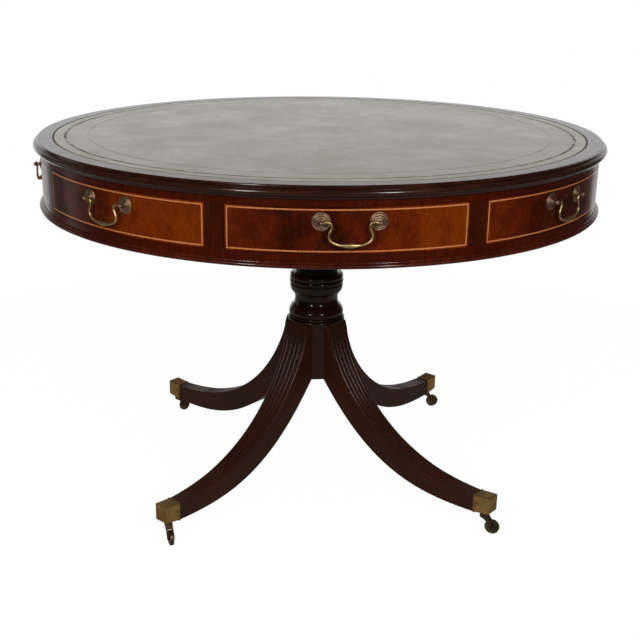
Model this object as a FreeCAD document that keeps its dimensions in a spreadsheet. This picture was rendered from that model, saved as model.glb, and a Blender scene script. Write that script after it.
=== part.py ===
import FreeCAD, Part
import math
import os
import re
import Sketcher

# Drum table: a revolving round top with eight frieze panels, four of them drawers, on a turned
# column with four reeded sabre legs, brass box toe caps and castors.
# Millimetres, +Z up, the origin on the floor under the column, the front drawer facing -Y.

os.makedirs("parts", exist_ok=True)
doc = FreeCAD.newDocument("DrumTable")
sheet = doc.addObject("Spreadsheet::Sheet", "Sizes")

# Driving sizes, each with the thing it measures
driving_sizes = (
    ("table_height", 762, "floor to the top of the rim"),
    ("rim_radius", 574, "widest point of the moulded rim"),
    ("rim_thickness", 22, "height of the rim"),
    ("rim_moulding_width", 10.5, "width of the rim's moulded edge"),
    ("border_width", 38, "wooden border round the leather, out to the rim's widest point"),
    ("frieze_setback", 13, "face of the round frieze behind the rim's widest point"),
    ("frieze_depth", 113.2, "height of the frieze under the rim"),
    ("frieze_thickness", 20, "rails, stiles and fronts, front to back"),
    ("top_rail_height", 13, "rail over the fronts"),
    ("bottom_rail_height", 23.3, "rail under the fronts"),
    ("stile_width", 33.5, "stile between two fronts"),
    ("front_gap", 0.8, "open joint round each front"),
    ("panel_count", 8, "fronts round the frieze"),
    ("bead_height", 10.5, "moulding round the bottom of the frieze"),
    ("bead_width", 7.4, "how far that moulding stands out"),
    ("stringing_width", 2.5, "inlaid line on each front"),
    ("stringing_depth", 1, "thickness of the inlaid line"),
    ("stringing_margin", 2.6, "wood left outside the inlaid line"),
    ("leather_thickness", 1.6, "leather and its lining"),
    ("leather_drop", 0.2, "leather below the wooden border"),
    ("leather_joint", 1.2, "open joint between the leather and its border"),
    ("outer_tooling_inset", 25, "outer tooled line in from the border"),
    ("inner_tooling_inset", 69, "inner tooled line in from the border"),
    ("tooling_width", 1.2, "width of a tooled line"),
    ("tooling_depth", 0.3, "depth of a tooled line"),
    ("glue_gap", 0.2, "room for glue between curved faces"),
    ("running_gap", 0.3, "room between faces that turn past each other"),
    ("shaft_fit", 0.08, "radial room round a turning pin"),
    ("inlay_fit", 0.05, "room round the inlaid line"),
    ("bearer_radius", 150, "round bearer board on the column"),
    ("bearer_thickness", 22, "thickness of the bearer board"),
    ("tenon_radius", 30, "column tenon in the bearer board"),
    ("pivot_radius", 10, "iron pivot pin"),
    ("pivot_depth", 62, "pivot pin inside the column"),
    ("pivot_block_size", 120, "block glued on the bottom board"),
    ("pivot_block_height", 40, "height of that block"),
    ("washer_radius", 24, "pivot washer"),
    ("washer_thickness", 3, "pivot washer"),
    ("nut_width", 32, "pivot nut across its flats"),
    ("nut_height", 16, "pivot nut"),
    ("partition_set_in", 1.5, "partition's face inside the edge of the drawer's opening"),
    ("partition_thickness", 14, "partition boards"),
    ("drawer_side_gap", 0.5, "room between a drawer and a partition"),
    ("drawer_side_thickness", 8, "drawer sides and back"),
    ("drawer_headroom", 1, "drawer sides below the top of the front"),
    ("drawer_back_gap", 2, "room behind a drawer"),
    ("drawer_bottom_thickness", 6, "drawer bottom"),
    ("drawer_bottom_lift", 3, "drawer bottom above the bottom board"),
    ("foot_thickness", 10, "glue foot behind a fixed front"),
    ("foot_height", 18, "glue foot behind a fixed front"),
    ("handle_half_span", 47, "middle of a handle to the middle of its post"),
    ("handle_drop_from_top", 23.5, "handle posts below the opening's top"),
    ("rose_radius", 15.3, "round backplate of a post"),
    ("rose_height", 4.4, "round backplate of a post"),
    ("post_reach", 12, "ball of a post from the frieze"),
    ("post_ball_radius", 3.9, "ball of a post"),
    ("post_stem_radius", 2.4, "stem of a post"),
    ("post_collar_radius", 3.7, "collar of a post"),
    ("post_collar_height", 1.1, "collar of a post"),
    ("post_hole_fit", 0.2, "room round a post in its rose and its front"),
    ("post_nut_radius", 5, "nut behind a front"),
    ("post_nut_height", 4, "nut behind a front"),
    ("post_tail", 1, "end of a post past its nut"),
    ("bail_radius", 2.2, "rod of the swinging handle"),
    ("bail_swell", 2, "extra radius in the middle of the handle"),
    ("bail_swell_half_length", 17, "half the length of the swelling"),
    ("bail_drop", 36.6, "depth of the swinging handle"),
    ("bail_pin_length", 5.4, "straight end of the handle in its post"),
    ("hub_bottom", 231.5, "underside of the square hub block"),
    ("hub_top", 355, "top of the hub block"),
    ("hub_half_width", 48.4, "hub block, middle to a leg face"),
    ("hub_facet_reach", 55.6, "hub block, middle to a chamfered corner"),
    ("collar_radius", 61.8, "widest turned collar over the hub"),
    ("dovetail_mouth", 8, "half width of a leg's dovetail at the hub's face"),
    ("dovetail_root", 11, "half width of a leg's dovetail at its end"),
    ("dovetail_depth", 16, "length of a leg's dovetail"),
    ("dovetail_headroom", 15, "top of the dovetail below the hub's top"),
    ("leg_reach", 429.4, "table's middle to the shoulder of a toe cap"),
    ("leg_root_half_width", 29.9, "leg at the hub"),
    ("leg_side_step", 0.7, "leg's side inside the toe cap's side"),
    ("leg_top_step", 1, "leg's top below the toe cap's top"),
    ("leg_bottom_step", 0.5, "leg's underside above the toe cap's underside"),
    ("leg_crest_start", 58.6, "start of the leg's top curve from the middle"),
    ("reed_count", 5, "reeds on a leg"),
    ("reed_depth", 2.6, "depth of the valleys between the reeds at the hub"),
    ("reed_start_share", 0.03, "where the reeds start along the leg's curve"),
    ("reed_stop_share", 0.97, "where the reeds stop along the leg's curve"),
    ("cap_length", 36.6, "toe cap, shoulder to tip"),
    ("cap_half_width", 15.5, "toe cap"),
    ("cap_heel_bottom", 43.3, "underside of the toe cap at its shoulder"),
    ("cap_toe_bottom", 49.1, "underside of the toe cap at its tip"),
    ("cap_heel_top", 81.5, "top of the toe cap at its shoulder"),
    ("cap_toe_top", 84.3, "top of the toe cap at its tip"),
    ("cap_wall", 2, "toe cap's wall"),
    ("cap_end_wall", 3, "toe cap's end"),
    ("cap_band_length", 4, "raised band at the cap's shoulder"),
    ("cap_band_height", 0.5, "raised band at the cap's shoulder"),
    ("cap_edge_radius", 1.6, "toe cap's worn edges"),
    ("cap_fit", 0.15, "room between a cap and the wood"),
    ("cap_screw_shank", 1.6, "radius of a cap screw's shank"),
    ("cap_screw_head", 3, "radius of a cap screw's round head"),
    ("cap_screw_length", 8, "length of a cap screw"),
    ("head_flat_share", 0.4, "flat middle of a round head as a share of its radius"),
    ("cap_screw_back", 9, "cap screw from the cap's shoulder"),
    ("cap_screw_rise", 22.7, "cap screw above the cap's underside at its shoulder"),
    ("swivel_from_shoulder", 18.1, "castor's swivel from the cap's shoulder"),
    ("swivel_seat_rise", 1.3, "underside of the castor's seat above the cap's underside at its shoulder"),
    ("crown_radius", 7.5, "castor's crown"),
    ("crown_height", 4, "castor's crown"),
    ("horn_back_height", 10, "straight back of the castor's horn"),
    ("pintle_radius", 3.5, "castor's swivel pin"),
    ("pintle_head_radius", 5, "riveted head of the swivel pin"),
    ("pintle_head_height", 2, "riveted head of the swivel pin"),
    ("pintle_head_rise", 0.9, "underside of that head above the cap's underside at its tip"),
    ("horn_trail", 17.5, "castor's axle behind its swivel"),
    ("cheek_thickness", 2, "side of the castor's fork"),
    ("wheel_radius", 15, "castor's wheel"),
    ("wheel_width", 9, "castor's wheel"),
    ("wheel_side_gap", 0.4, "room beside the wheel"),
    ("wheel_top_gap", 1, "room over the wheel's tread"),
    ("axle_radius", 2, "castor's axle"),
    ("axle_boss_radius", 4.6, "castor's fork round its axle"),
)

# Sizes that follow from them
derived_sizes = (
    ("border_radius", "rim_radius - border_width"),
    ("frieze_radius", "rim_radius - frieze_setback"),
    ("leather_radius", "border_radius - leather_joint"),
    ("outer_tooling_radius", "border_radius - outer_tooling_inset"),
    ("inner_tooling_radius", "border_radius - inner_tooling_inset"),
    ("drum_top", "table_height - rim_thickness"),
    ("drum_bottom", "drum_top - frieze_depth"),
    ("opening_top", "drum_top - top_rail_height"),
    ("opening_bottom", "drum_bottom + bottom_rail_height"),
    ("frieze_inside", "frieze_radius - frieze_thickness"),
    ("carcass_radius", "frieze_inside - glue_gap"),
    ("panel_angle", "360 / panel_count"),
    ("stile_half_angle", "asin(stile_width / 2 / frieze_radius) / 1deg"),
    ("gap_angle", "asin(front_gap / frieze_radius) / 1deg"),
    ("opening_half_angle", "panel_angle / 2 - stile_half_angle"),
    ("front_half_angle", "opening_half_angle - gap_angle"),
    ("front_bottom", "opening_bottom + front_gap"),
    ("front_top", "opening_top - front_gap"),
    ("stringing_bottom", "front_bottom + stringing_margin"),
    ("stringing_top", "front_top - stringing_margin"),
    ("stringing_half_angle", "front_half_angle - asin(stringing_margin / frieze_radius) / 1deg"),
    ("stringing_angle", "asin(stringing_width / frieze_radius) / 1deg"),
    ("fit_angle", "asin(inlay_fit / frieze_radius) / 1deg"),
    ("board_thickness", "rim_thickness - leather_thickness - leather_drop"),
    ("bearer_top", "drum_bottom - running_gap"),
    ("bearer_bottom", "bearer_top - bearer_thickness"),
    ("handle_height", "opening_top - handle_drop_from_top"),
    ("post_angle", "asin(handle_half_span / (frieze_radius + post_reach)) / 1deg"),
    ("hinge_distance", "(frieze_radius + post_reach) * cos(post_angle)"),
    ("hub_face_half", "hub_facet_reach * sqrt(2) - hub_half_width"),
    ("partition_face", "frieze_inside * sin(opening_half_angle) - partition_set_in"),
    ("partition_offset", "partition_face + partition_thickness / 2"),
    ("drawer_half_width", "partition_face - drawer_side_gap"),
    ("drawer_back", "partition_offset + partition_thickness / 2 + drawer_back_gap"),
    ("drawer_side_height", "front_top - drawer_headroom - opening_bottom - running_gap"),
    ("partition_height", "drum_top - opening_bottom"),
    ("leg_toe_half_width", "cap_half_width - leg_side_step"),
    ("leg_toe_top", "cap_heel_top - leg_top_step"),
    ("leg_toe_bottom", "cap_heel_bottom + leg_bottom_step"),
    ("cap_tip", "leg_reach + cap_length"),
    ("cap_screw_height", "cap_heel_bottom + cap_screw_rise"),
    ("swivel_reach", "leg_reach + swivel_from_shoulder"),
    ("swivel_seat_height", "cap_heel_bottom + swivel_seat_rise"),
    ("pintle_head_base", "cap_toe_bottom + pintle_head_rise"),
    ("crown_top", "swivel_seat_height - running_gap"),
    ("fork_half_width", "wheel_width / 2 + wheel_side_gap + cheek_thickness"),
)

aliases = [row[0] for row in driving_sizes] + [row[0] for row in derived_sizes]
for row, (alias, number, meaning) in enumerate(driving_sizes, start=1):
    sheet.set("A%d" % row, meaning)
    sheet.set("B%d" % row, str(number))
    sheet.setAlias("B%d" % row, alias)
for row, (alias, formula) in enumerate(derived_sizes, start=len(driving_sizes) + 1):
    sheet.set("B%d" % row, "=" + formula)
    sheet.setAlias("B%d" % row, alias)
doc.recompute()


def sized(text):
    """An expression on sheet names, written so that an object outside the sheet can use it."""
    return re.sub(r"[a-z]\w+", lambda word: "Sizes." * (word.group() in aliases) + word.group(), str(text))


def value(text):
    """The present value of such an expression."""
    result = sheet.evalExpression(sized(text))
    return float(getattr(result, "Value", result))


# Drawing helpers
def new_body(name):
    return doc.addObject("PartDesign::Body", name)


def attach(body, plane, name, lift="0"):
    """An empty sketch on one of the body's own origin planes, lifted off it by a size."""
    sketch = body.newObject("Sketcher::SketchObject", name)
    support = [item for item in body.Origin.OriginFeatures if item.Role == plane]
    sketch.AttachmentSupport = [(support[0], "")]
    sketch.MapMode = "FlatFace"
    if lift != "0":
        sketch.setExpression(".AttachmentOffset.Base.z", sized(lift))
    return sketch


def bind(sketch, kind, where, text):
    """A dimension whose value follows the sheet."""
    index = sketch.addConstraint(Sketcher.Constraint(kind, *where, value(text)))
    sketch.setExpression("Constraints[%d]" % index, sized(text))


def fix_point(sketch, item, end, across, up):
    """Hold one point of a sketch at sizes from the sheet."""
    for kind, axis, text in (("DistanceX", -2, across), ("DistanceY", -1, up)):
        if str(text) == "0":
            sketch.addConstraint(Sketcher.Constraint("PointOnObject", item, end, axis))
        else:
            bind(sketch, kind, (-1, 1, item, end), text)


def outline(body, plane, name, corners, lift="0"):
    """A closed outline. A corner is (across, up) or (across, up, bulge), where the bulge is the
    height of the arc to the next corner as a share of half its chord, outwards when positive and
    the corners run anticlockwise."""
    sketch = attach(body, plane, name, lift)
    points = [FreeCAD.Vector(value(corner[0]), value(corner[1]), 0) for corner in corners]
    count = len(corners)
    bulges = [corner[2] if len(corner) > 2 else 0 for corner in corners]
    for index in range(count):
        start, end = points[index], points[(index + 1) % count]
        if bulges[index]:
            chord = end - start
            side = FreeCAD.Vector(chord.y, -chord.x, 0) * (value(bulges[index]) / 2)
            sketch.addGeometry(Part.Arc(start, (start + end) * 0.5 + side, end))
        else:
            sketch.addGeometry(Part.LineSegment(start, end))
    first = [1 if sketch.getPoint(index, 1).isEqual(points[index], 1e-5) else 2 for index in range(count)]
    for index in range(count):
        following = (index + 1) % count
        meeting = (index, 3 - first[index], following, first[following])
        sketch.addConstraint(Sketcher.Constraint("Coincident", *meeting))
        fix_point(sketch, index, first[index], corners[index][0], corners[index][1])
        if bulges[index]:
            step_across = "((%s) - (%s))" % (corners[following][0], corners[index][0])
            step_up = "((%s) - (%s))" % (corners[following][1], corners[index][1])
            chord_text = "sqrt(%s ^ 2 + %s ^ 2)" % (step_across, step_up)
            bend = "abs(%s)" % bulges[index]
            bind(sketch, "Radius", (index,), "%s * (1 + %s ^ 2) / (4 * %s)" % (chord_text, bend, bend))
    return sketch


def circle(body, plane, name, across, up, radius, lift="0"):
    sketch = attach(body, plane, name, lift)
    centre = FreeCAD.Vector(value(across), value(up), 0)
    sketch.addGeometry(Part.Circle(centre, FreeCAD.Vector(0, 0, 1), value(radius)))
    fix_point(sketch, 0, 3, across, up)
    bind(sketch, "Radius", (0,), radius)
    return sketch


def prism(body, sketch, kind, length, middle=False, backwards=False):
    """Pad or pocket a sketch."""
    feature = body.newObject("PartDesign::" + kind, sketch.Name + kind)
    feature.Profile = sketch
    feature.setExpression("Length", sized(length))
    feature.Midplane = middle
    feature.Reversed = backwards
    return feature


def turn(body, sketch, kind="Revolution", axis="V_Axis", angle="360", middle=False):
    """Revolve or groove a sketch about one of its own axes."""
    feature = body.newObject("PartDesign::" + kind, sketch.Name + kind)
    feature.Profile = sketch
    feature.ReferenceAxis = (sketch, [axis])
    feature.setExpression("Angle", sized(angle))
    feature.Midplane = middle
    return feature


def ring_of(body, features, count):
    """Repeat features round the body's own Z axis."""
    pattern = body.newObject("PartDesign::PolarPattern", body.Name + "Ring")
    pattern.Originals = features
    axis = [item for item in body.Origin.OriginFeatures if item.Role == "Z_Axis"]
    pattern.Axis = (axis[0], [""])
    pattern.Angle = 360
    pattern.setExpression("Occurrences", sized(count))
    body.Tip = pattern
    return pattern


def placed(x=0, y=0, z=0, yaw=0):
    turned = FreeCAD.Rotation(FreeCAD.Vector(0, 0, 1), yaw)
    return FreeCAD.Placement(FreeCAD.Vector(x, y, z), turned)


def group(name, pieces, placement=None):
    """A sub-part made of one or more modelled pieces, with a place of its own."""
    compound = doc.addObject("Part::Compound", name)
    compound.Links = pieces
    if placement:
        compound.Placement = placement
    return compound


def profile_of(shares, across_start, across_size, up_start, up_size):
    """Corners from a table of shares of a moulding's width and height."""
    corners = []
    for share in shares:
        corner = ["%s + %s * %s" % (across_start, share[0], across_size)]
        corner.append("%s + %s * %s" % (up_start, share[1], up_size))
        corners.append(tuple(corner) + tuple(share[2:]))
    return corners


nodes = {}

# Column: one turning with its square hub block, made with the leg faces along X and Y
column_turning_shares = (
    (0.975, 0, 0.5), (0.975, 0.024), (0.93, 0.026), (0.93, 0.03, 0.75), (0.93, 0.046), (0.915, 0.048),
    (0.925, 0.052, 0.3), (0.897, 0.114, 0.15), (0.815, 0.14, -0.4), (0.877, 0.265, 0.08), (0.925, 0.32),
    (0.9, 0.329), (0.905, 0.333, 0.42), (0.908, 0.371), (0.908, 0.375, 0.36), (0.9, 0.411), (0.8, 0.417),
    (0.745, 0.431), (0.715, 0.842), (0.72, 0.845, 0.8), (0.72, 0.873), (0.728, 0.877, -0.3), (0.9, 0.945),
)


def make_column():
    body = new_body("column")
    half, face = "hub_half_width", "hub_face_half"
    block = ((half, "-" + face), (half, face), (face, half), ("-" + face, half),
             ("-" + half, face), ("-" + half, "-" + face), ("-" + face, "-" + half), (face, "-" + half))
    prism(body, outline(body, "XY_Plane", "HubOutline", block, "hub_bottom"), "Pad", "hub_top - hub_bottom")
    turned = profile_of(column_turning_shares, "0", "collar_radius", "hub_top", "(bearer_bottom - hub_top)")
    last = turned[-1][0]
    corners = [("0", "hub_top")] + turned + [
        (last, "bearer_bottom"),
        ("tenon_radius", "bearer_bottom"),
        ("tenon_radius", "bearer_top - running_gap"),
        ("pivot_radius + glue_gap", "bearer_top - running_gap"),
        ("pivot_radius + glue_gap", "bearer_bottom - pivot_depth"),
        ("0", "bearer_bottom - pivot_depth"),
    ]
    turn(body, outline(body, "XZ_Plane", "Turning", corners))
    socket = (("hub_half_width - dovetail_depth", "-dovetail_root"), ("hub_half_width", "-dovetail_mouth"),
              ("hub_half_width", "dovetail_mouth"), ("hub_half_width - dovetail_depth", "dovetail_root"))
    sketch = outline(body, "XY_Plane", "Socket", socket, "hub_bottom")
    cut = prism(body, sketch, "Pocket", "hub_top - dovetail_headroom - hub_bottom", backwards=True)
    ring_of(body, [cut], "4")
    nodes["column"] = body
    body.Placement = placed(yaw=45)


make_column()

# Legs: a side profile between two curves, tapered in plan, reeded along the top
leg_crest_shares = ((0.2545, 0.48), (0.597, 0.232))
leg_belly_shares = ((0.406, 0.181), (0.671, 0.114))
reed_crown_share = 0.08
reed_fade_in_share = 0.05
reed_fade_out_share = 0.2
leg_yaws = {"front_right": -45, "back_right": 45, "back_left": 135, "front_left": -135}


def side_curve(start, shares, end):
    poles = [start] + [(x * value("leg_reach"), z * value("hub_top")) for x, z in shares] + [end]
    curve = Part.BezierCurve()
    curve.setPoles([FreeCAD.Vector(x, 0, z) for x, z in poles])
    return curve


def leg_half_width(reach):
    start, root, toe = value("hub_half_width"), value("leg_root_half_width"), value("leg_toe_half_width")
    return root + (toe - root) * (reach - start) / (value("leg_reach") - start)


def flat_shape(points, direction):
    """A straight-sided outline carried along a direction."""
    return Part.Face(Part.makePolygon(points + points[:1])).extrude(direction)


def reed_section(crest, at, fade):
    """One cross-section of the reeds, sunk into the leg, or lifted clear of it where they fade."""
    count = int(value("reed_count"))
    point = crest.value(at)
    along = FreeCAD.Vector(*crest.tangent(at)[0])
    out = FreeCAD.Vector(0, 1, 0).cross(along) * -1
    half = leg_half_width(point.x)
    depth = value("reed_depth") * half / value("leg_root_half_width")
    lift = depth * fade * (1 + reed_crown_share)
    crown = lift - depth * reed_crown_share
    valley = lift - depth
    pitch = 2 * half / count

    def place(side, rise):
        return point + FreeCAD.Vector(0, side, 0) + out * rise

    edges = []
    for reed in range(count):
        left = -half + pitch * reed
        bow = Part.Arc(place(left, valley), place(left + pitch / 2, crown), place(left + pitch, valley))
        edges.append(bow.toShape())
    ceiling, beside = 2 * depth, half + depth
    rest = (place(half, valley), place(beside, valley), place(beside, ceiling),
            place(-beside, ceiling), place(-beside, valley), place(-half, valley))
    edges += [Part.makeLine(a, b) for a, b in zip(rest, rest[1:])]
    return Part.Wire(edges)


def reed_cutter(crest):
    """What is taken off between and beside the reeds, fading out at both ends."""
    begin, end = value("reed_start_share"), value("reed_stop_share")
    stations = 20
    sections = []
    for station in range(stations + 1):
        share = station / stations
        fade = max(1 - share / reed_fade_in_share, (share - 1) / reed_fade_out_share + 1, 0)
        sections.append(reed_section(crest, begin + (end - begin) * share, fade))
    return Part.makeLoft(sections, True, False)


def make_leg_shape():
    root, top, bottom = value("hub_half_width"), value("hub_top"), value("hub_bottom")
    reach, toe_top, toe_bottom = value("leg_reach"), value("leg_toe_top"), value("leg_toe_bottom")
    start = value("leg_crest_start")
    crest = side_curve((start, top), leg_crest_shares, (reach, toe_top))
    belly = side_curve((root, bottom), leg_belly_shares, (reach, toe_bottom))
    places = ((root, bottom), (root, top), (start, top), (reach, toe_top), (reach, toe_bottom))
    corner = [FreeCAD.Vector(x, 0, z) for x, z in places]
    edges = [Part.makeLine(corner[0], corner[1]), Part.makeLine(corner[1], corner[2]), crest.toShape()]
    edges += [Part.makeLine(corner[3], corner[4]), belly.toShape()]
    wire = Part.Wire(edges)
    half, thin = value("leg_root_half_width"), value("leg_toe_half_width")
    side = Part.Face(wire).extrude(FreeCAD.Vector(0, 2 * half, 0))
    side.translate(FreeCAD.Vector(0, -half, 0))
    plan = [FreeCAD.Vector(root, -half, 0), FreeCAD.Vector(reach, -thin, 0),
            FreeCAD.Vector(reach, thin, 0), FreeCAD.Vector(root, half, 0)]
    shape = side.common(flat_shape(plan, FreeCAD.Vector(0, 0, top)))
    shape = shape.cut(reed_cutter(crest))
    return shape.fuse([make_dovetail_shape(), make_toe_shape()]).removeSplitter()


def make_dovetail_shape():
    room = value("cap_fit")
    face, end = value("hub_half_width"), value("hub_half_width - dovetail_depth") + room
    mouth, root = value("dovetail_mouth") - room, value("dovetail_root") - room
    bottom, top = value("hub_bottom"), value("hub_top - dovetail_headroom") - room
    plan = [FreeCAD.Vector(end, -root, bottom), FreeCAD.Vector(face, -mouth, bottom),
            FreeCAD.Vector(face, mouth, bottom), FreeCAD.Vector(end, root, bottom)]
    return flat_shape(plan, FreeCAD.Vector(0, 0, top - bottom))


def make_toe_shape():
    """The reduced end of the leg inside its cap, bored for the castor's riveted pin and the screws."""
    room = value("cap_wall + cap_fit")
    half = value("cap_half_width") - room
    start, end = value("leg_reach"), value("cap_tip - cap_end_wall - cap_fit")
    outline_points = [FreeCAD.Vector(start, -half, value("cap_heel_bottom") + room),
                      FreeCAD.Vector(end, -half, value("cap_toe_bottom") + room),
                      FreeCAD.Vector(end, -half, value("cap_toe_top") - room),
                      FreeCAD.Vector(start, -half, value("cap_heel_top") - room)]
    shape = flat_shape(outline_points, FreeCAD.Vector(0, 2 * half, 0))
    recess_top = value("pintle_head_base + pintle_head_height + 4 * running_gap")
    recess = Part.makeCylinder(value("pintle_head_radius + 4 * running_gap"), recess_top,
                               FreeCAD.Vector(value("swivel_reach"), 0, 0))
    hole_start = FreeCAD.Vector(value("leg_reach + cap_screw_back"), -2 * half, value("cap_screw_height"))
    hole_radius = value("cap_screw_shank + post_hole_fit")
    hole = Part.makeCylinder(hole_radius, 4 * half, hole_start, FreeCAD.Vector(0, 1, 0))
    return shape.cut(recess).cut(hole)


leg_shape = make_leg_shape()
for corner_name, yaw in leg_yaws.items():
    leg = doc.addObject("Part::Feature", "leg_" + corner_name)
    leg.Shape = leg_shape
    leg.Placement = placed(yaw=yaw)
    nodes["leg_" + corner_name] = leg


# Toe caps: cast boxes with a raised band at the shoulder, a seat under the castor and two screws
def cap_outline(inset, start, end):
    return ((start, "cap_heel_bottom + " + inset), (end, "cap_toe_bottom + " + inset),
            (end, "cap_toe_top - " + inset), (start, "cap_heel_top - " + inset))


def soften_cap(body, block):
    """Round off every edge of the cap's block but those at the open shoulder."""
    doc.recompute()
    past_shoulder = value("leg_reach + cap_edge_radius")
    edges = [edge.CenterOfMass.x > past_shoulder for edge in block.Shape.Edges]
    fillet = body.newObject("PartDesign::Fillet", "CapSoftEdges")
    fillet.Base = (block, ["Edge%d" % number for number, chosen in enumerate(edges, start=1) if chosen])
    fillet.setExpression("Radius", sized("cap_edge_radius"))


def make_cap():
    body = new_body("CapPattern")
    outer = outline(body, "XZ_Plane", "CapOutline", cap_outline("0", "leg_reach", "cap_tip"))
    soften_cap(body, prism(body, outer, "Pad", "2 * cap_half_width", middle=True))
    band_end = "leg_reach + cap_band_length"
    low, high = "cap_heel_bottom - cap_band_height", "cap_heel_top + cap_band_height"
    rise = " + cap_band_length / cap_length * (cap_toe_bottom - cap_heel_bottom)"
    band = (("leg_reach", low), (band_end, low + rise), (band_end, high), ("leg_reach", high))
    sketch = outline(body, "XZ_Plane", "CapBand", band)
    prism(body, sketch, "Pad", "2 * (cap_half_width + cap_band_height)", middle=True)
    seat = circle(body, "XY_Plane", "CapSeat", "swivel_reach", "0", "crown_radius", "swivel_seat_height")
    prism(body, seat, "Pad", "cap_wall + cap_toe_bottom - swivel_seat_height")
    hollow = cap_outline("cap_wall", "leg_reach", "cap_tip - cap_end_wall")
    inner = outline(body, "XZ_Plane", "CapHollow", hollow)
    prism(body, inner, "Pocket", "2 * (cap_half_width - cap_wall)", middle=True)
    hole = circle(body, "XY_Plane", "PintleHole", "swivel_reach", "0", "pintle_radius + shaft_fit")
    prism(body, hole, "Pocket", "pintle_head_base", backwards=True)
    screw_hole = circle(body, "XZ_Plane", "ScrewHole", "leg_reach + cap_screw_back", "cap_screw_height",
                        "cap_screw_shank + post_hole_fit")
    prism(body, screw_hole, "Pocket", "4 * cap_half_width", middle=True)
    return body


def make_cap_screw():
    """A round-head screw along +Y, its head's underside on the cap's side."""
    body = new_body("CapScrewPattern")
    seat, tip = "cap_half_width", "cap_half_width - cap_screw_length"
    corners = (("0", tip), ("cap_screw_shank", tip), ("cap_screw_shank", seat), ("cap_screw_head", seat),
               ("cap_screw_head", seat + " + cap_screw_head / 6", "0.3"),
               ("cap_screw_head * head_flat_share", seat + " + cap_screw_head / 2"),
               ("0", seat + " + cap_screw_head / 2"))
    turn(body, outline(body, "XY_Plane", "CapScrewOutline", corners))
    body.Placement = placed(value("leg_reach + cap_screw_back"), 0, value("cap_screw_height"))
    return body


cap = make_cap()
cap_screw = make_cap_screw()
screws = []
for corner_name, yaw in leg_yaws.items():
    nodes["caster_cap_" + corner_name] = group("caster_cap_" + corner_name, [cap], placed(yaw=yaw))
    screws.append(group("ScrewLeft" + corner_name, [cap_screw], placed(yaw=yaw)))
    half_turn = FreeCAD.Placement(FreeCAD.Vector(), FreeCAD.Rotation(FreeCAD.Vector(1, 0, 0), 180))
    other_side = placed(yaw=yaw) * half_turn * placed(z=-2 * value("cap_screw_height"))
    screws.append(group("ScrewRight" + corner_name, [cap_screw], other_side))
nodes["cap_screws"] = group("cap_screws", screws)


# Castors, with the swivel on the Z axis and the wheel trailing towards +X
def make_fork():
    body = new_body("ForkPattern")
    crown_foot, head_top = "crown_top - crown_height", "pintle_head_base + pintle_head_height"
    crown = (("0", crown_foot), ("crown_radius", crown_foot), ("crown_radius", "crown_top"),
             ("pintle_radius", "crown_top"), ("pintle_radius", "pintle_head_base"),
             ("pintle_head_radius", "pintle_head_base"),
             ("pintle_head_radius", "pintle_head_base + pintle_head_height / 2", "0.3"),
             ("pintle_head_radius * head_flat_share", head_top), ("0", head_top))
    turn(body, outline(body, "XZ_Plane", "Crown", crown))
    near, far = "horn_trail - axle_boss_radius", "horn_trail + axle_boss_radius"
    shoulder = "crown_top - crown_height / 2"
    cheek = ((near, "wheel_radius", "0.9"), (far, "wheel_radius"),
             (far, "wheel_radius + axle_boss_radius", "-0.12"), ("crown_radius", crown_foot),
             ("crown_radius", shoulder), ("-crown_radius", shoulder),
             ("-crown_radius", "crown_top - horn_back_height", "-0.25"))
    sketch = outline(body, "XZ_Plane", "Cheek", cheek)
    prism(body, sketch, "Pad", "2 * fork_half_width", middle=True)
    well = circle(body, "XZ_Plane", "WheelWell", "horn_trail", "wheel_radius", "wheel_radius + wheel_top_gap")
    prism(body, well, "Pocket", "wheel_width + 2 * wheel_side_gap", middle=True)
    axle = circle(body, "XZ_Plane", "Axle", "horn_trail", "wheel_radius", "axle_radius")
    prism(body, axle, "Pad", "2 * fork_half_width + cheek_thickness / 2", middle=True)
    return body


wheel_side_shares = ((0.3, 0.8), (0.76, 0.66), (0.93, 0.84), (1, 0.5))
tread_bulge_share = "0.35"


def make_wheel():
    body = new_body("WheelPattern")
    half, bore = "wheel_width / 2", "axle_radius + shaft_fit"
    side = [("wheel_radius * %s" % out, "wheel_width / 2 * %s" % across) for out, across in wheel_side_shares]
    low = [(out, "-" + across) for out, across in side]
    low[-2] += (tread_bulge_share,)
    high = side[::-1]
    high[0] += (tread_bulge_share,)
    corners = [(bore, "-" + half), (low[0][0], "-" + half)] + low + high + [(high[-1][0], half), (bore, half)]
    turn(body, outline(body, "XY_Plane", "WheelOutline", corners))
    body.Placement = placed(value("horn_trail"), 0, value("wheel_radius"))
    return body


fork = make_fork()
wheel = make_wheel()
castor_yaws = {"front_right": -31, "back_right": 8, "back_left": 44, "front_left": -74}
for corner_name, yaw in leg_yaws.items():
    reach = value("swivel_reach")
    east, north = reach * math.cos(math.radians(yaw)), reach * math.sin(math.radians(yaw))
    place = placed(east, north, 0, castor_yaws[corner_name])
    nodes["caster_fork_" + corner_name] = group("caster_fork_" + corner_name, [fork], place)
    nodes["caster_wheel_" + corner_name] = group("caster_wheel_" + corner_name, [wheel], place)


# Bearer board, pivot pin, washer and nut: what the drum rests and turns on
def make_round(name, corners, plane="XZ_Plane"):
    body = new_body(name)
    turn(body, outline(body, plane, name + "Outline", corners))
    nodes[name] = body
    return body


def rectangle(low_across, high_across, low_up, high_up):
    return ((low_across, low_up), (high_across, low_up), (high_across, high_up), (low_across, high_up))


make_round("top_bearer", rectangle("tenon_radius + glue_gap", "bearer_radius", "bearer_bottom", "bearer_top"))
block_top = "opening_bottom + pivot_block_height"
pin_top = block_top + " + running_gap + washer_thickness + nut_height + pivot_radius / 2"
make_round("pivot_pin", rectangle("0", "pivot_radius", "bearer_bottom - pivot_depth", pin_top))


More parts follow.
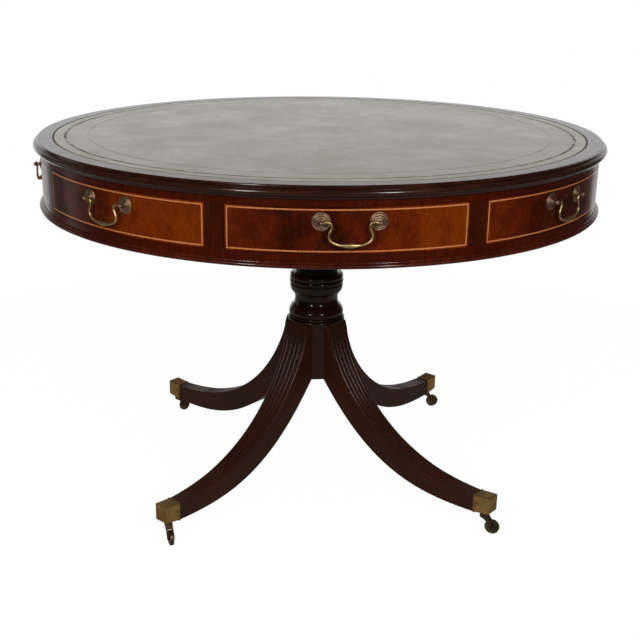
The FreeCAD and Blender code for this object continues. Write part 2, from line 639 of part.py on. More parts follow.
def make_pivot_nut():
    washer = new_body("PivotWasher")
    low = block_top + " + running_gap"
    high = low + " + washer_thickness"
    turn(washer, outline(washer, "XZ_Plane", "WasherOutline",
                         rectangle("pivot_radius + glue_gap", "washer_radius", low, high)))
    nut = new_body("PivotHexNut")
    corner = "nut_width / sqrt(3)"
    half, flat = "nut_width / sqrt(3) / 2", "nut_width / 2"
    hexagon = ((corner, "0"), (half, flat), ("-" + half, flat), ("-" + corner, "0"), ("-" + half, "-" + flat),
               (half, "-" + flat))
    prism(nut, outline(nut, "XY_Plane", "NutOutline", hexagon, high), "Pad", "nut_height")
    bore = circle(nut, "XY_Plane", "NutBore", "0", "0", "pivot_radius + glue_gap", high)
    prism(nut, bore, "Pocket", "nut_height", backwards=True)
    nodes["pivot_nut"] = group("pivot_nut", [washer, nut])


make_pivot_nut()

# Revolving top: board, moulded rim and inset leather with its tooled lines
rim_moulding_shares = (
    (0.19, 0), (0.238, 0.045, -0.3), (0.571, 0.2045, 0.905), (0.476, 0.705), (0.476, 0.75),
    (0.238, 0.78), (0.238, 0.886, 0.4142), (0, 1),
)
board_top = "drum_top + board_thickness"
leather_top = "table_height - leather_drop"
make_round("top_board", rectangle("0", "border_radius - glue_gap", "drum_top", board_top))
rim_corners = profile_of(rim_moulding_shares, "rim_radius - rim_moulding_width", "rim_moulding_width",
                         "drum_top", "rim_thickness")
make_round("top_rim", [("border_radius", "drum_top")] + rim_corners + [("border_radius", "table_height")])


def tooled_line(radius):
    near, far = radius + " - tooling_width / 2", radius + " + tooling_width / 2"
    floor = leather_top + " - tooling_depth"
    return [(far, leather_top), (far, floor), (near, floor), (near, leather_top)]


leather_corners = [("0", board_top), ("leather_radius", board_top), ("leather_radius", leather_top)]
leather_corners += tooled_line("(outer_tooling_radius + 1.5 * tooling_width)")
leather_corners += tooled_line("(outer_tooling_radius - 1.5 * tooling_width)")
leather_corners += tooled_line("inner_tooling_radius") + [("0", leather_top)]
make_round("leather_inset", leather_corners)

# Frieze: rails, stiles, bottom board and the bead moulding round the bottom
make_round("frieze_top_rail", rectangle("frieze_inside", "frieze_radius", "opening_top", "drum_top"))
make_round("frieze_bottom_rail", rectangle("frieze_inside", "frieze_radius", "drum_bottom", "opening_bottom"))
bead_shares = (
    (0, 0), (0.6, 0, 0.95), (0.6, 0.667), (0.5, 0.667, 0.3), (0.54, 0.8, 0.35), (0.36, 0.93), (0, 1),
)
bead_back = "frieze_radius + inlay_fit"
make_round("bottom_bead", profile_of(bead_shares, bead_back, "bead_width", "drum_bottom", "bead_height"))
board_corners = rectangle("pivot_radius + shaft_fit", "carcass_radius", "drum_bottom", "opening_bottom")
make_round("bottom_board", board_corners)


def make_stiles():
    body = new_body("frieze_stiles")
    body.AllowCompound = True
    corners = rectangle("frieze_inside", "frieze_radius", "opening_bottom", "opening_top")
    sketch = outline(body, "XZ_Plane", "StileOutline", corners)
    first = turn(body, sketch, angle="2 * stile_half_angle", middle=True)
    ring_of(body, [first], "panel_count")
    body.Placement = placed(yaw=value("panel_angle / 2"))
    nodes["frieze_stiles"] = body


make_stiles()


# Fronts, made facing +X, with a line of stringing let in all round
def make_front(name):
    body = new_body(name)
    corners = rectangle("frieze_inside", "frieze_radius - stringing_depth", "front_bottom", "front_top")
    turn(body, outline(body, "XZ_Plane", name + "Plate", corners), angle="2 * front_half_angle", middle=True)
    skin = "frieze_radius - stringing_depth"
    for part, edge_low, edge_high, half_angle in (
            ("Low", "front_bottom", "stringing_bottom", "front_half_angle"),
            ("High", "stringing_top", "front_top", "front_half_angle"),
            ("Panel", "stringing_bottom + stringing_width", "stringing_top - stringing_width",
             "stringing_half_angle - stringing_angle")):
        sketch = outline(body, "XZ_Plane", name + part, rectangle(skin, "frieze_radius", edge_low, edge_high))
        turn(body, sketch, angle="2 * (%s)" % half_angle, middle=True)
    return body


def sector(name, corners, half_angle, yaw=0):
    body = new_body(name)
    sketch = outline(body, "XZ_Plane", name + "Outline", corners)
    turn(body, sketch, angle="2 * (%s)" % half_angle, middle=True)
    body.Placement = placed(yaw=yaw)
    return body


def shank_holes():
    """Cutters for the handle posts' shanks through a front."""
    cutters = []
    for side in (-1, 1):
        cutter = doc.addObject("Part::Cylinder", "ShankHole")
        cutter.setExpression("Radius", sized("post_stem_radius + post_hole_fit"))
        cutter.setExpression("Height", sized("4 * frieze_thickness"))
        start = placed(x=value("frieze_radius - 2 * frieze_thickness"), z=value("handle_height"))
        outwards = FreeCAD.Rotation(FreeCAD.Vector(0, 1, 0), 90)
        aimed = placed(yaw=side * value("post_angle")) * start
        cutter.Placement = aimed * FreeCAD.Placement(FreeCAD.Vector(), outwards)
        cutters.append(cutter)
    return cutters


def cut_from(name, base, tools):
    tool = group(name + "Tools", tools)
    result = doc.addObject("Part::Cut", name)
    result.Base = base
    result.Tool = tool
    return result


def make_inlay():
    """The line of stringing as one frame, a little clear of its groove."""
    outer = rectangle("frieze_radius - stringing_depth + inlay_fit", "frieze_radius",
                      "stringing_bottom + inlay_fit", "stringing_top - inlay_fit")
    frame = sector("InlayFrame", outer, "stringing_half_angle - fit_angle")
    inner = rectangle("frieze_inside", "frieze_radius + stringing_depth",
                      "stringing_bottom + stringing_width - inlay_fit",
                      "stringing_top - stringing_width + inlay_fit")
    window = sector("InlayWindow", inner, "stringing_half_angle - stringing_angle + fit_angle")
    return cut_from("InlayPattern", frame, [window])


def edge_strips():
    """The plain wood outside the stringing at the two ends of a front."""
    strips = []
    margin = "(front_half_angle - stringing_half_angle)"
    for side in (-1, 1):
        corners = rectangle("frieze_radius - stringing_depth", "frieze_radius", "front_bottom", "front_top")
        strips.append(sector("FrontEnd", corners, margin + " / 2",
                             side * value("(front_half_angle + stringing_half_angle) / 2")))
    return strips


def join(name, pieces):
    result = doc.addObject("Part::MultiFuse", name)
    result.Shapes = pieces
    result.Refine = True
    return result


plate = make_front("FrontPlate")
front = cut_from("FrontPattern", join("FrontSolid", [plate] + edge_strips()), shank_holes())
foot = sector("FrontFoot", rectangle("frieze_inside - foot_thickness", "frieze_inside + foot_thickness",
                                     "opening_bottom", "opening_bottom + foot_height"),
              "front_half_angle - 4 * gap_angle")
foot_trim = sector("FootTrim", rectangle("carcass_radius", "frieze_radius", "drum_bottom", "front_bottom"),
                   "front_half_angle")
footed = join("FootedSolid", [front, cut_from("FootPattern", foot, [foot_trim])])
inlay = make_inlay()


# Handles: a turned rose, a post with a ball end bored for the handle's pin, and a nut inside
rose_shares = ((1, 0.19, 0.3), (0.8, 0.36), (0.72, 0.37, 0.45), (0.54, 0.6), (0.46, 0.61, 0.45), (0.28, 0.84),
               (0.22, 0.85, 0.5), (0.12, 1))


def make_rose():
    body = new_body("RosePattern")
    hole = "post_stem_radius + post_hole_fit"
    rings = profile_of(rose_shares, "inlay_fit", "(rose_height - inlay_fit)", "0", "rose_radius")
    corners = [("inlay_fit", hole), ("rose_height", hole)] + rings + [("inlay_fit", "rose_radius")]
    turn(body, outline(body, "XY_Plane", "RoseOutline", corners), axis="H_Axis")
    return body


def make_post():
    body = new_body("PostPattern")
    ball_start = "post_reach - sqrt(post_ball_radius ^ 2 - post_stem_radius ^ 2)"
    ball_bulge = "tan((180 - asin(post_stem_radius / post_ball_radius) / 1deg) / 4)"
    collar = "rose_height + inlay_fit"
    collar_front = collar + " + post_collar_height"
    tail = "-frieze_thickness - post_nut_height - post_tail"
    corners = ((tail, "0"), ("post_reach + post_ball_radius", "0", ball_bulge),
               (ball_start, "post_stem_radius"), (collar_front, "post_stem_radius"),
               (collar_front, "post_collar_radius", "0.4"), (collar, "post_collar_radius"),
               (collar, "post_stem_radius"), (tail, "post_stem_radius"))
    turn(body, outline(body, "XY_Plane", "PostOutline", corners), axis="H_Axis")
    return body


def make_post_nut():
    body = new_body("PostNutPattern")
    inside, outside = "-frieze_thickness - post_nut_height", "-frieze_thickness - glue_gap"
    corners = rectangle(inside, outside, "post_stem_radius + inlay_fit", "post_nut_radius")
    turn(body, outline(body, "XY_Plane", "PostNutOutline", corners), axis="H_Axis")
    return body


def make_handle_mounts():
    """Both posts of one handle with their roses and nuts, on the front that faces +X."""
    patterns = (make_rose(), make_post(), make_post_nut())
    pairs = []
    for pattern in patterns:
        pair = []
        for side in (-1, 1):
            on_face = placed(x=value("frieze_radius"), z=value("handle_height"))
            aimed = placed(yaw=side * value("post_angle")) * on_face
            pair.append(group(pattern.Name + "Placed", [pattern], aimed))
        pairs.append(pair)
    bore = doc.addObject("Part::Cylinder", "PinBore")
    bore.setExpression("Radius", sized("bail_radius + shaft_fit"))
    half = "(handle_half_span + bail_radius)"
    bore.setExpression("Height", sized("2 * " + half))
    along_y = FreeCAD.Rotation(FreeCAD.Vector(1, 0, 0), -90)
    bore.Placement = FreeCAD.Placement(
        FreeCAD.Vector(value("hinge_distance"), -value(half), value("handle_height")), along_y)
    posts = cut_from("BoredPosts", group("PostPair", pairs[1]), [bore])
    return group("HandleMountsPattern", pairs[0] + [posts] + pairs[2])


bail_path_shares = (
    (0.964, -0.01), (0.888, -0.035), (0.807, -0.02), (0.731, 0.035), (0.7, 0.13), (0.726, 0.3), (0.796, 0.48),
    (0.796, 0.66), (0.715, 0.81), (0.574, 0.91), (0.4, 0.975), (0.195, 0.998), (0, 1),
)
bail_end_tangent_share = 0.21


def make_bail_shape():
    """The swan-neck handle: a bent rod with straight pins, swelling in the middle."""
    drop = value("bail_drop")
    pin_end = value("handle_half_span + bail_radius - glue_gap")
    pin_start = pin_end - value("bail_pin_length + glue_gap")
    left = [(pin_start, 0)] + [(pin_start * along, drop * down) for along, down in bail_path_shares]
    route = left + [(-along, down) for along, down in reversed(left[:-1])]
    distance, height = value("hinge_distance"), value("handle_height")
    points = [FreeCAD.Vector(distance, along, height - down) for along, down in route]
    curve = Part.BSplineCurve()
    level = FreeCAD.Vector(0, -drop * bail_end_tangent_share, 0)
    curve.interpolate(points, InitialTangent=level, FinalTangent=level)
    sections = []
    stations = 60
    swell_half = value("bail_swell_half_length")
    for station in range(stations + 1):
        length = curve.length() * station / stations
        at = curve.parameterAtDistance(length)
        point, along = curve.value(at), FreeCAD.Vector(*curve.tangent(at)[0])
        swelling = 0
        if abs(point.y) < swell_half and point.z < height - drop / 2:
            swelling = value("bail_swell") * math.cos(math.pi / 2 * point.y / swell_half) ** 2
        ring = Part.Circle(point, along, value("bail_radius") + swelling)
        ring.XAxis = FreeCAD.Vector(1, 0, 0)
        sections.append(Part.Wire(ring.toShape()))
    rod = Part.makeLoft(sections, True, False)
    pins = []
    for side in (-1, 1):
        start, out = FreeCAD.Vector(distance, side * pin_start, height), FreeCAD.Vector(0, side, 0)
        pins.append(Part.makeCylinder(value("bail_radius"), pin_end - pin_start, start, out))
    return rod.fuse(pins).removeSplitter()


mounts = make_handle_mounts()
bail_shape = make_bail_shape()


# Drawer box, made to slide out along +X
def make_drawer_box():
    outer, inner = "drawer_half_width", "(drawer_half_width - drawer_side_thickness)"
    reach = "sqrt(carcass_radius ^ 2 - %s ^ 2)"
    low = "opening_bottom + running_gap"
    pieces = []
    for side in ("", "-"):
        body = new_body("DrawerSide")
        corners = [("drawer_back", side + inner), (reach % inner, side + inner),
                   (reach % outer, side + outer), ("drawer_back", side + outer)]
        corners = corners if side == "" else corners[::-1]
        sketch = outline(body, "XY_Plane", body.Name + "Outline", corners, low)
        prism(body, sketch, "Pad", "drawer_side_height")
        pieces.append(body)
    bottom = new_body("DrawerBottom")
    bow = "(carcass_radius - %s) / %s" % (reach % inner, inner)
    start = "drawer_back + drawer_side_thickness"
    corners = ((start, "-" + inner), (reach % inner, "-" + inner, bow),
               (reach % inner, inner), (start, inner))
    sketch = outline(bottom, "XY_Plane", "BottomOutline", corners, "opening_bottom + drawer_bottom_lift")
    prism(bottom, sketch, "Pad", "drawer_bottom_thickness")
    back = new_body("DrawerBack")
    corners = rectangle("drawer_back", start, "-" + inner, inner)
    height = "drawer_side_height - drawer_bottom_thickness"
    prism(back, outline(back, "XY_Plane", "BackOutline", corners, low), "Pad", height)
    return group("DrawerBoxPattern", pieces + [bottom, back])


box = make_drawer_box()

# The eight panels: drawers on the four sides, fixed fronts between them
drawer_yaws = {"front": -90, "right": 0, "back": 90, "left": 180}
for side_name, yaw in drawer_yaws.items():
    for kind, pattern in (("front", front), ("inlay", inlay), ("box", box), ("handle_mounts", mounts)):
        label = "drawer_%s_%s" % (side_name, kind)
        nodes[label] = group(label, [pattern], placed(yaw=yaw))
for kind, pattern in (("dummy_fronts", footed), ("dummy_inlay", inlay), ("dummy_handle_mounts", mounts)):
    copies = [group(kind + "Copy", [pattern], placed(yaw=yaw)) for yaw in leg_yaws.values()]
    nodes[kind] = group(kind, copies)
for side_name, yaw in list(drawer_yaws.items()) + list(leg_yaws.items()):
    bail = doc.addObject("Part::Feature", "bail_" + side_name)
    bail.Shape = bail_shape
    bail.Placement = placed(yaw=yaw)
    nodes["bail_" + side_name] = bail


# Partitions: four boards halved over each other, and the pivot block between them
def make_partition(name, notch_from_top):
    body = new_body(name)
    end = "sqrt(carcass_radius ^ 2 - (partition_offset + partition_thickness / 2) ^ 2)"
    low, high, middle = "opening_bottom", "drum_top", "opening_bottom + partition_height / 2"
    near = "partition_offset - partition_thickness / 2 - glue_gap"
    far = "partition_offset + partition_thickness / 2 + glue_gap"
    if notch_from_top:
        notched = [("-(%s)" % end, low), (end, low), (end, high)]
        for first, last in ((far, near), ("-(%s)" % near, "-(%s)" % far)):
            notched += [(first, high), (first, middle), (last, middle), (last, high)]
        notched.append(("-(%s)" % end, high))
    else:
        notched = [(end, high), ("-(%s)" % end, high), ("-(%s)" % end, low)]
        for first, last in (("-(%s)" % far, "-(%s)" % near), (near, far)):
            notched += [(first, low), (first, middle), (last, middle), (last, low)]
        notched.append((end, low))
    sketch = outline(body, "XZ_Plane", name + "Outline", notched)
    prism(body, sketch, "Pad", "partition_thickness", middle=True)
    return body


for label, notch_from_top, yaw in (("partition_long", True, 0), ("partition_cross", False, 90)):
    board = make_partition(label + "Board", notch_from_top)
    offset = value("partition_offset")
    turned = placed(yaw=yaw)
    pair = [group(label + "Placed", [board], turned * placed(y=side * offset)) for side in (-1, 1)]
    nodes[label] = group(label, pair)


def make_pivot_block():
    body = new_body("pivot_block")
    half = "pivot_block_size / 2"
    square = rectangle("-" + half, half, "-" + half, half)
    sketch = outline(body, "XY_Plane", "BlockOutline", square, "opening_bottom")
    prism(body, sketch, "Pad", "pivot_block_height")
    bore = circle(body, "XY_Plane", "BlockBore", "0", "0", "pivot_radius + shaft_fit", "opening_bottom")
    prism(body, bore, "Pocket", "pivot_block_height", backwards=True)
    nodes["pivot_block"] = body


make_pivot_block()

# Check everything before anything is written
doc.recompute()
for item in doc.Objects:
    if {"Invalid", "Error"} & set(item.State):
        raise RuntimeError("%s failed: %s" % (item.Name, item.State))
for label, item in nodes.items():
    item.Label = label
    if item.Shape.isNull() or not item.Shape.isValid() or not item.Shape.Solids:
        raise RuntimeError("%s has no valid shape" % label)
for label, item in nodes.items():
    item.Shape.exportStep("parts/%s.step" % label)
    print(label, len(item.Shape.Solids), round(item.Shape.Volume))
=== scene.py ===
import math

import bpy
from mathutils import Matrix, Vector

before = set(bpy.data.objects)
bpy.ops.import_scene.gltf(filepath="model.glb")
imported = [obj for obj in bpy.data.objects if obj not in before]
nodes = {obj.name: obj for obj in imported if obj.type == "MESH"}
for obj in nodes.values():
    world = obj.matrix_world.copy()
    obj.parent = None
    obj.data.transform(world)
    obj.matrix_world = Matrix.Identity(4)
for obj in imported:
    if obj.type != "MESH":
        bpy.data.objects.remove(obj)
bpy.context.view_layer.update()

# Column
# One length of dense dark mahogany, turned above its square hub block and french polished. Its
# hollows are painted nearly black, a painted shade along with dark old polish, and the beads
# still take small sharp highlights.


def linear(colour):
    """An sRGB hex colour as linear red, green, blue and alpha."""
    parts = [int(colour[start:start + 2], 16) / 255 for start in (1, 3, 5)]
    return [part / 12.92 if part <= 0.04045 else ((part + 0.055) / 1.055) ** 2.4
            for part in parts] + [1.0]


def add(tree, kind, settings=None, links=None):
    """Adds a shader node with its settings and links. A setting is a property, a socket or the
    stops of a colour ramp."""
    node = tree.nodes.new("ShaderNode" + kind)
    for name, setting in (settings or {}).items():
        if name == "stops":
            ramp = node.color_ramp
            while len(ramp.elements) < len(setting):
                ramp.elements.new(0.5)
            for element, (position, colour) in zip(ramp.elements, setting):
                element.position = position
                element.color = linear(colour)
        elif isinstance(name, str) and hasattr(node, name):
            setattr(node, name, setting)
        else:
            node.inputs[name].default_value = setting
    for name, source in (links or {}).items():
        tree.links.new(source, node.inputs[name])
    return node


def material(name):
    made = bpy.data.materials.new(name)
    made.use_nodes = True
    made.node_tree.nodes.clear()
    return made, made.node_tree


def finish_material(tree, shader_settings, shader_links):
    shader = add(tree, "BsdfPrincipled", shader_settings, shader_links)
    add(tree, "OutputMaterial", links={"Surface": shader.outputs["BSDF"]})


def in_millimetres(tree):
    place = add(tree, "TexCoord").outputs["Object"]
    return add(tree, "VectorMath", {"operation": "SCALE", "Scale": 1000.0}, {0: place}).outputs[0]


def straight_grain(along):
    """Gives wood its coordinates in millimetres, with X running with the grain, which lies along
    one axis of the object."""
    order = {"X": "XYZ", "Y": "YXZ", "Z": "ZXY"}[along]

    def coordinates(tree):
        parts = add(tree, "SeparateXYZ", links={0: in_millimetres(tree)})
        turned = {socket: parts.outputs[axis] for socket, axis in enumerate(order)}
        return add(tree, "CombineXYZ", links=turned).outputs[0]

    return coordinates


def wood(name, grain, dark, middle, pale, streak_mm=9, stretch=14, pore_mm=0.9, patch_mm=150,
         patches=0.4, leaf_mm=0, painted_hollow_shade=0, gloss=0.1, polish=0.3, polish_roughness=0.09,
         roughness=0.3):
    """Wood by its grain coordinates. Streaks are growth bands streak_mm wide and stretch times as
    long, patches are broad changes of tone, patch_mm wide, and leaves of veneer leaf_mm wide are
    lighter and darker in turn. Pores are drawn pore_mm wide, coarser than the real 0.2 mm so that
    they show. The hollows of carved or turned wood are painted towards black, by the share
    painted_hollow_shade: a painted shade, along with old polish gone dark there."""
    pore_stretch = 18
    wear_mm = 60
    leaf_start = -0.75
    leaf_contrast = 0.2
    pore_tone = (0.55, 0.5, 0.48, 1)
    flat, hollowed = 0.5, 0.475
    made, tree = material(name)
    coordinates = grain(tree)
    drawn_out = add(tree, "VectorMath", {"operation": "MULTIPLY", 1: (1 / stretch, 1, 1)},
                    {0: coordinates}).outputs[0]
    bands = add(tree, "TexNoise",
                {"Scale": 1 / streak_mm, "Detail": 5.0, "Roughness": 0.6, "Distortion": 0.4},
                {"Vector": drawn_out}).outputs["Fac"]
    broad = add(tree, "TexNoise", {"Scale": 1 / patch_mm, "Detail": 3.0},
                {"Vector": coordinates}).outputs["Fac"]
    tone = add(tree, "Mix", {"data_type": "FLOAT", "Factor": patches},
               {2: bands, 3: broad}).outputs[0]
    if leaf_mm:
        across = add(tree, "SeparateXYZ", links={0: coordinates}).outputs["Y"]
        turns = add(tree, "Math",
                    {"operation": "MULTIPLY_ADD", 1: math.pi / leaf_mm, 2: leaf_start},
                    {0: across}).outputs[0]
        leaves = add(tree, "Math", {"operation": "SINE"}, {0: turns}).outputs[0]
        tone = add(tree, "Math", {"operation": "MULTIPLY_ADD", 1: leaf_contrast},
                   {0: leaves, 2: tone}).outputs[0]
    colour = add(tree, "ValToRGB", {"stops": [(0.25, dark), (0.5, middle), (0.75, pale)]},
                 {"Fac": tone}).outputs["Color"]
    pore_place = add(tree, "VectorMath", {"operation": "MULTIPLY", 1: (1 / pore_stretch, 1, 1)},
                     {0: coordinates}).outputs[0]
    pores = add(tree, "TexNoise", {"Scale": 1 / pore_mm, "Detail": 2.0},
                {"Vector": pore_place}).outputs["Fac"]
    pore_mask = add(tree, "MapRange", {"From Min": 0.58, "From Max": 0.72},
                    {"Value": pores}).outputs["Result"]
    colour = add(tree, "Mix", {"data_type": "RGBA", "blend_type": "MULTIPLY", 7: pore_tone},
                 {0: pore_mask, 6: colour}).outputs[2]
    # Painted shade: where the mesh curves inward, the colour is mixed towards black
    if painted_hollow_shade:
        bend = add(tree, "NewGeometry").outputs["Pointiness"]
        hollow_shade_mask = add(tree, "MapRange",
                     {"From Min": flat, "From Max": hollowed, "To Max": painted_hollow_shade},
                     {"Value": bend}).outputs["Result"]
        colour = add(tree, "Mix", {"data_type": "RGBA", 7: linear("#060302")},
                     {0: hollow_shade_mask, 6: colour}).outputs[2]
    wear = add(tree, "TexNoise", {"Scale": 1 / wear_mm, "Detail": 6.0, "Roughness": 0.65},
               {"Vector": coordinates}).outputs["Fac"]
    rough = add(tree, "MapRange", {"To Min": roughness * 0.8, "To Max": roughness * 1.35},
                {"Value": wear}).outputs["Result"]
    ripple = add(tree, "Mix", {"data_type": "FLOAT", "Factor": 0.35},
                 {2: bands, 3: pore_mask}).outputs[0]
    bump = add(tree, "Bump", {"Strength": 0.12, "Distance": 0.0004, "invert": True},
               {"Height": ripple}).outputs["Normal"]
    waves = add(tree, "Bump", {"Strength": 0.15, "Distance": 0.001},
                {"Height": broad}).outputs["Normal"]
    finish_material(tree,
                    {"IOR": 1.5, "Specular IOR Level": gloss, "Coat Weight": polish,
                     "Coat Roughness": polish_roughness, "Coat IOR": 1.5},
                    {"Base Color": colour, "Roughness": rough, "Normal": bump,
                     "Coat Normal": waves})
    return made


def dress(made, *names):
    """Gives CAD nodes a material."""
    for name in names:
        mesh = nodes[name].data
        mesh.materials.clear()
        mesh.materials.append(made)


column_polish = wood("turned_mahogany_black_french_polish", straight_grain("Z"),
                     "#150603", "#290f06", "#3c170a", streak_mm=7, painted_hollow_shade=0.8, polish=0.4,
                     polish_roughness=0.06, roughness=0.26)
dress(column_polish, "column")

# Legs
# Four sabre legs sawn from plank, reeded along the top and dovetailed to the hub. The straight
# grain runs down the leg's slope, and the polish is thinner and browner than on the column.
corner_names = ("front_right", "back_right", "back_left", "front_left")
leg_slope = math.radians(38)
plank_shift = (310, 170, 0)


def leg_grain(tree):
    """Millimetres along a leg's slope, across its width and across its side. The legs stand on the
    diagonals: after an eighth of a turn the larger of |x| and |y| runs along a leg, and the smaller
    across it. Each leg has its own piece of the plank, plank_shift away from the next."""
    millimetres = in_millimetres(tree)
    turned = add(tree, "VectorRotate", {"rotation_type": "Z_AXIS", "Angle": math.radians(45)},
                 {"Vector": millimetres}).outputs[0]
    parts = add(tree, "SeparateXYZ", links={0: turned})
    east = add(tree, "Math", {"operation": "ABSOLUTE"}, {0: parts.outputs["X"]}).outputs[0]
    north = add(tree, "Math", {"operation": "ABSOLUTE"}, {0: parts.outputs["Y"]}).outputs[0]
    reach = add(tree, "Math", {"operation": "MAXIMUM"}, {0: east, 1: north}).outputs[0]
    side = add(tree, "Math", {"operation": "MINIMUM"}, {0: east, 1: north}).outputs[0]
    flat = add(tree, "CombineXYZ", links={0: reach, 1: side, 2: parts.outputs["Z"]}).outputs[0]
    sloped = add(tree, "VectorRotate", {"rotation_type": "Y_AXIS", "Angle": -leg_slope},
                 {"Vector": flat}).outputs[0]
    corner = add(tree, "VectorMath", {"operation": "SIGN"}, {0: turned}).outputs[0]
    shift = add(tree, "VectorMath", {"operation": "MULTIPLY", 1: plank_shift},
                {0: corner}).outputs[0]
    return add(tree, "VectorMath", {"operation": "ADD"}, {0: sloped, 1: shift}).outputs[0]


# The reeds' hollows are painted towards black, a painted shade
leg_polish = wood("sawn_mahogany_brown_french_polish", leg_grain, "#28120a", "#38190c", "#4b2310",
                  streak_mm=8, painted_hollow_shade=0.8, gloss=0.12, polish=0.16, polish_roughness=0.21,
                  roughness=0.42)
dress(leg_polish, *["leg_" + corner for corner in corner_names])

# Toe caps
# Cast brass boxes pushed over the toes. The lacquer is long gone: the faces are dull
# yellow-brown, darker in patches, and the edges are rubbed brighter.


def aged_brass(name, dull, body, bright, grain_mm=3.0, roughness=0.42, rub=0.5):
    """Brass with brown oxide in patches grain_mm and oxide_mm wide, brighter where its edges are
    rubbed, by the share rub."""
    oxide_mm = 20
    flat, edged = 0.5, 0.62
    made, tree = material(name)
    place = add(tree, "TexCoord").outputs["Object"]
    fine = add(tree, "TexNoise", {"Scale": 1000 / grain_mm, "Detail": 4.0, "Roughness": 0.7},
               {"Vector": place}).outputs["Fac"]
    patches = add(tree, "TexNoise", {"Scale": 1000 / oxide_mm, "Detail": 3.0},
                  {"Vector": place}).outputs["Fac"]
    tone = add(tree, "Mix", {"data_type": "FLOAT", "Factor": 0.5},
               {2: fine, 3: patches}).outputs[0]
    colour = add(tree, "ValToRGB", {"stops": [(0.35, dull), (0.5, body), (0.66, bright)]},
                 {"Fac": tone}).outputs["Color"]
    bend = add(tree, "NewGeometry").outputs["Pointiness"]
    edge = add(tree, "MapRange", {"From Min": flat, "From Max": edged, "To Max": rub},
               {"Value": bend}).outputs["Result"]
    colour = add(tree, "Mix", {"data_type": "RGBA", 7: linear(bright)},
                 {0: edge, 6: colour}).outputs[2]
    rough = add(tree, "MapRange", {"To Min": roughness * 0.7, "To Max": roughness * 1.4},
                {"Value": tone}).outputs["Result"]
    bump = add(tree, "Bump", {"Strength": 0.25, "Distance": 0.0002},
               {"Height": fine}).outputs["Normal"]
    finish_material(tree, {"Metallic": 1.0},
                    {"Base Color": colour, "Roughness": rough, "Normal": bump})
    return made


cap_brass = aged_brass("cast_brass_dull_unlacquered", "#77542b", "#a67e46", "#c9a366",
                       roughness=0.52)
dress(cap_brass, *["caster_cap_" + corner for corner in corner_names])
screw_brass = aged_brass("turned_brass_screw_dull", "#65491f", "#866a3b", "#a58853",
                         grain_mm=1.0, roughness=0.6, rub=0.0)
dress(screw_brass, "cap_screws")

# Castors
# Small cast brass forks and wheels, dirtier than the caps: the forks a dull brown, the wheels
# nearly olive and polished where they roll.
fork_brass = aged_brass("cast_brass_brown_tarnish", "#33261a", "#5a4630", "#7a6246",
                        grain_mm=1.5, roughness=0.6, rub=0.2)
dress(fork_brass, *["caster_fork_" + corner for corner in corner_names])
wheel_brass = aged_brass("turned_brass_olive_tarnish", "#2f2718", "#5e5138", "#a08c66",
                         grain_mm=1.5, roughness=0.44, rub=0.3)
dress(wheel_brass, *["caster_wheel_" + corner for corner in corner_names])

# Bearer and pivot
# A round pine board on the column's tenon, stained dark, and a black wrought iron pin with its
# nut and washer, greased where the drum turns on it.
stained_pine = wood("sawn_pine_brown_stain", straight_grain("X"), "#22120a", "#3a2113", "#55341f",
                    streak_mm=14, gloss=0.3, polish=0.0, roughness=0.6)
dress(stained_pine, "top_bearer")


def forged_iron(name, dark, light):
    scale_mm = 4
    made, tree = material(name)
    place = add(tree, "TexCoord").outputs["Object"]
    scale = add(tree, "TexNoise", {"Scale": 1000 / scale_mm, "Detail": 6.0, "Roughness": 0.7},
                {"Vector": place}).outputs["Fac"]
    colour = add(tree, "ValToRGB", {"stops": [(0.35, dark), (0.7, light)]},
                 {"Fac": scale}).outputs["Color"]
    bump = add(tree, "Bump", {"Strength": 0.3, "Distance": 0.0003},
               {"Height": scale}).outputs["Normal"]
    finish_material(tree, {"Metallic": 1.0, "Roughness": 0.48},
                    {"Base Color": colour, "Normal": bump})
    return made


pivot_iron = forged_iron("wrought_iron_black_greased", "#241f1b", "#5a534c")
dress(pivot_iron, "pivot_pin", "pivot_nut")

# Carcass
# Core of the top, bottom board, partitions and pivot block of old pine, never polished: sawn
# faces gone brown. One partition's grain runs across the others'.
pine_nodes = {"sawn_pine_bare_old": ("X", ["bottom_board", "partition_long", "pivot_block",
                                           "top_board"]),
              "sawn_pine_bare_old_across": ("Y", ["partition_cross"])}
for pine_name, (axis, names) in pine_nodes.items():
    old_pine = wood(pine_name, straight_grain(axis), "#5b3c20", "#80592f", "#a67c49",
                    streak_mm=16, gloss=0.3, polish=0.0, roughness=0.7)
    dress(old_pine, *names)

# Frieze rails, stiles and bead
# Plain red-brown mahogany veneer on the rails, darker wood on the stiles, and a small stuck bead
# round the bottom. All french polished together with the fronts.
rail_veneer = wood("sliced_mahogany_plain_french_polish", straight_grain("Z"),
                   "#2d0900", "#431001", "#5a1902", streak_mm=6)
dress(rail_veneer, "frieze_top_rail", "frieze_bottom_rail")
stile_veneer = wood("sliced_mahogany_dark_french_polish", straight_grain("Z"),
                    "#260901", "#3a1102", "#521c04", streak_mm=7)
dress(stile_veneer, "frieze_stiles")
# The bead's hollows are painted towards black, a painted shade
bead_polish = wood("moulded_mahogany_red_french_polish", straight_grain("Z"),
                   "#2c0d05", "#46170a", "#632611", streak_mm=12, painted_hollow_shade=0.6, polish=0.4,
                   roughness=0.25)
dress(bead_polish, "bottom_bead")

# Drawer fronts and fixed fronts
# Curved fronts veneered with figured mahogany, its mottle standing upright, so that the red-brown
# wood breaks into lighter and darker patches under a clear polish.
side_names = ("front", "right", "back", "left")
figured_veneer = wood("sliced_mahogany_figured_french_polish", straight_grain("Z"),
                      "#300b01", "#591a01", "#7c3002", streak_mm=6, stretch=2, patch_mm=40,
                      patches=0.6, leaf_mm=230)
dress(figured_veneer, "dummy_fronts", *["drawer_%s_front" % side for side in side_names])

# Stringing
# Thin boxwood lines let into the fronts, gone orange under the old polish.
boxwood = wood("sawn_boxwood_orange_polish", straight_grain("Z"),
               "#a8592c", "#cc7d48", "#e29c69", streak_mm=3)
dress(boxwood, "dummy_inlay", *["drawer_%s_inlay" % side for side in side_names])

